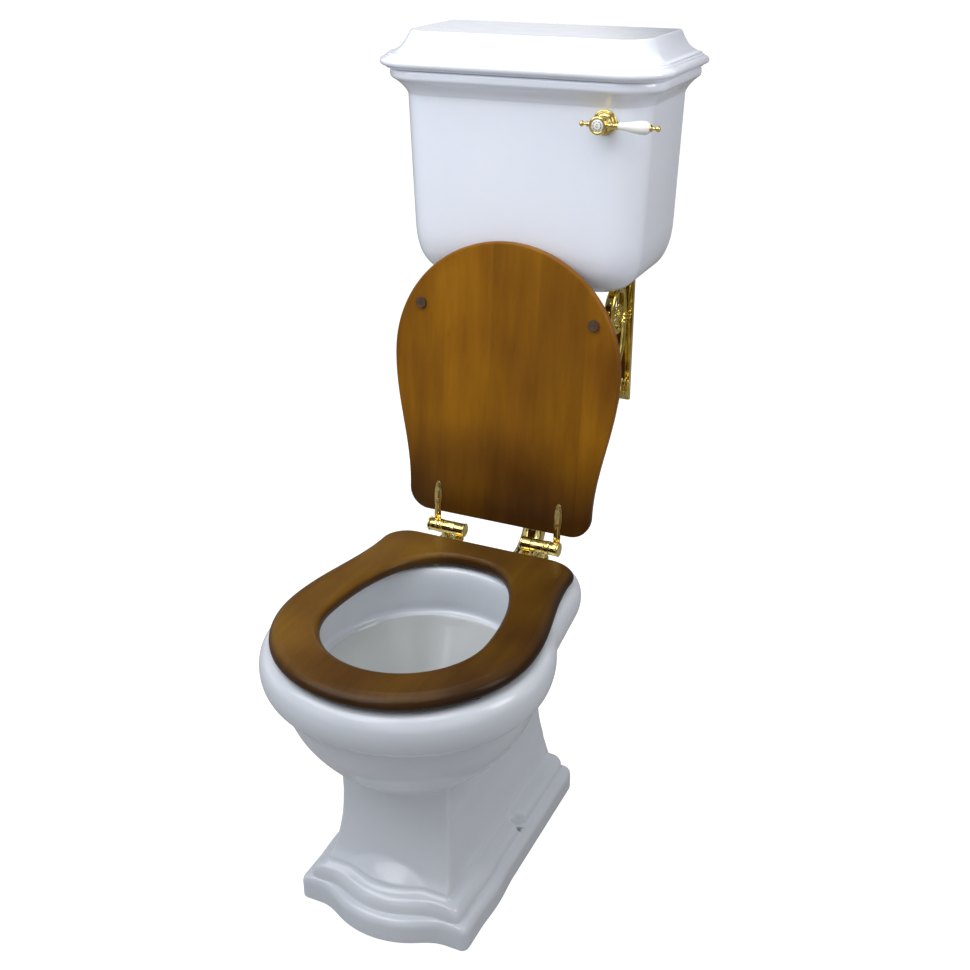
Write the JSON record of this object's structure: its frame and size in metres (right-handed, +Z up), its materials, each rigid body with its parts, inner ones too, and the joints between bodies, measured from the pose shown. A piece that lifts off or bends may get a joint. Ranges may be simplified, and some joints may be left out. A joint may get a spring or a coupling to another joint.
{
  "type": "low-level toilet",
  "caption": "Floor-standing ceramic toilet pan with a hinged wooden seat and lid, and a lever-flushed cistern on wall brackets joined by a flush pipe.",
  "frame": {"origin": "centre of the overall box, on the floor", "axes": "+Z up, -Y towards the sitter side (front of the pan), +Y towards the wall, +X to the right seen from the front"},
  "size_m": [0.434, 0.74, 1.16],
  "materials": {
    "pan": "glossy vitreous china",
    "pan_outlet": "glossy vitreous china",
    "flush_pipe": "polished",
    "flush_pipe_nut": "polished",
    "flush_cone": "matt",
    "seat_ring": "satin varnish over walnut stain",
    "seat_buffers": "matt brown rubber",
    "seat_leaves": "polished",
    "seat_leaf_screws": "polished",
    "lid": "satin varnish over walnut stain",
    "lid_buffers": "matt brown rubber",
    "lid_leaves": "polished",
    "lid_leaf_screws": "polished",
    "hinge_barrels": "polished",
    "hinge_pins": "polished",
    "hinge_studs": "polished",
    "hinge_washers": "matt",
    "hinge_nuts": "moulded",
    "cistern_tank": "glossy vitreous china",
    "cistern_lid": "glossy vitreous china",
    "lever_escutcheon": "polished",
    "lever_bush": "polished",
    "lever_bush_nut": "polished",
    "lever_spindle": "polished",
    "lever_hub": "polished",
    "lever_bezel": "polished",
    "lever_button": "glossy porcelain",
    "lever_collar": "polished",
    "lever_handle": "glossy porcelain",
    "lever_finial": "polished",
    "lever_ball": "polished",
    "lift_arm": "polished",
    "lift_arm_screw": "stainless",
    "lift_link": "stainless",
    "valve_body": "moulded",
    "valve_seal": "matt",
    "overflow_tube": "moulded",
    "valve_washer": "matt",
    "valve_back_nut": "moulded",
    "inlet_stem": "polished",
    "inlet_washer": "matt",
    "inlet_back_nut": "polished",
    "inlet_plunger": "moulded",
    "float_arm": "polished",
    "float_ball": "moulded",
    "float_pivot_pin": "polished",
    "fill_tube": "moulded",
    "bracket_left": "polished",
    "bracket_right": "polished",
    "bracket_pads": "matt"
  },
  "bodies": {
    "frame": {"pan": "pan", "pan_outlet": "pan_outlet", "flush_pipe": "flush_pipe", "flush_pipe_nut": "flush_pipe_nut", "flush_cone": "flush_cone", "hinge_barrels": "hinge_barrels", "hinge_pins": "hinge_pins", "hinge_studs": "hinge_studs", "hinge_washers": "hinge_washers", "hinge_nuts": "hinge_nuts", "cistern_tank": "cistern_tank", "lever_escutcheon": "lever_escutcheon", "lever_bush": "lever_bush", "lever_bush_nut": "lever_bush_nut", "valve_body": "valve_body", "valve_washer": "valve_washer", "valve_back_nut": "valve_back_nut", "inlet_stem": "inlet_stem", "inlet_washer": "inlet_washer", "inlet_back_nut": "inlet_back_nut", "float_pivot_pin": "float_pivot_pin", "fill_tube": "fill_tube", "bracket_left": "bracket_left", "bracket_right": "bracket_right", "bracket_pads": "bracket_pads"},
    "seat": {"seat_ring": "seat_ring", "seat_buffers": "seat_buffers", "seat_leaves": "seat_leaves", "seat_leaf_screws": "seat_leaf_screws"},
    "lid": {"lid": "lid", "lid_buffers": "lid_buffers", "lid_leaves": "lid_leaves", "lid_leaf_screws": "lid_leaf_screws"},
    "cistern_cover": {"cistern_lid": "cistern_lid"},
    "lever": {"lever_spindle": "lever_spindle", "lever_hub": "lever_hub", "lever_bezel": "lever_bezel", "lever_button": "lever_button", "lever_collar": "lever_collar", "lever_handle": "lever_handle", "lever_finial": "lever_finial", "lever_ball": "lever_ball", "lift_arm": "lift_arm", "lift_arm_screw": "lift_arm_screw"},
    "flush_valve": {"valve_seal": "valve_seal", "overflow_tube": "overflow_tube", "lift_link": "lift_link"},
    "float": {"float_arm": "float_arm", "float_ball": "float_ball"},
    "plunger": {"inlet_plunger": "inlet_plunger"}
  },
  "joints": [
    {"name": "lid_hinge", "type": "hinge", "parent": "frame", "child": "lid", "pos_m": [0, 0.105, 0.441], "axis": [1, 0, 0], "range_deg": [0, 95.6]},
    {"name": "seat_hinge", "type": "hinge", "parent": "frame", "child": "seat", "pos_m": [0, 0.105, 0.441], "axis": [1, 0, 0], "range_deg": [-95, 0]},
    {"name": "flush_lever", "type": "hinge", "parent": "frame", "child": "lever", "pos_m": [0.131, 0.21, 1.056], "axis": [0, 1, 0], "range_deg": [0, 24]},
    {"name": "flush_valve_lift", "type": "slide", "parent": "frame", "child": "flush_valve", "axis": [0, 0, 1], "range_m": [0, 0.0468]},
    {"name": "float_pivot", "type": "hinge", "parent": "frame", "child": "float", "pos_m": [-0.053, 0.325, 1.038], "axis": [0, -1, 0], "range_deg": [0, 12]},
    {"name": "plunger_slide", "type": "slide", "parent": "frame", "child": "plunger", "axis": [0, 0, -1], "range_m": [0, 0.0047]},
    {"name": "cistern_cover_lift", "type": "slide", "parent": "frame", "child": "cistern_cover", "axis": [0, 0, 1], "range_m": [0, 0.1]}
  ],
  "couplings": [
    {"joint": "flush_valve_lift", "follows": "flush_lever", "m_per_rad": 0.1117},
    {"joint": "plunger_slide", "follows": "float_pivot", "m_per_rad": 0.022}
  ]
}
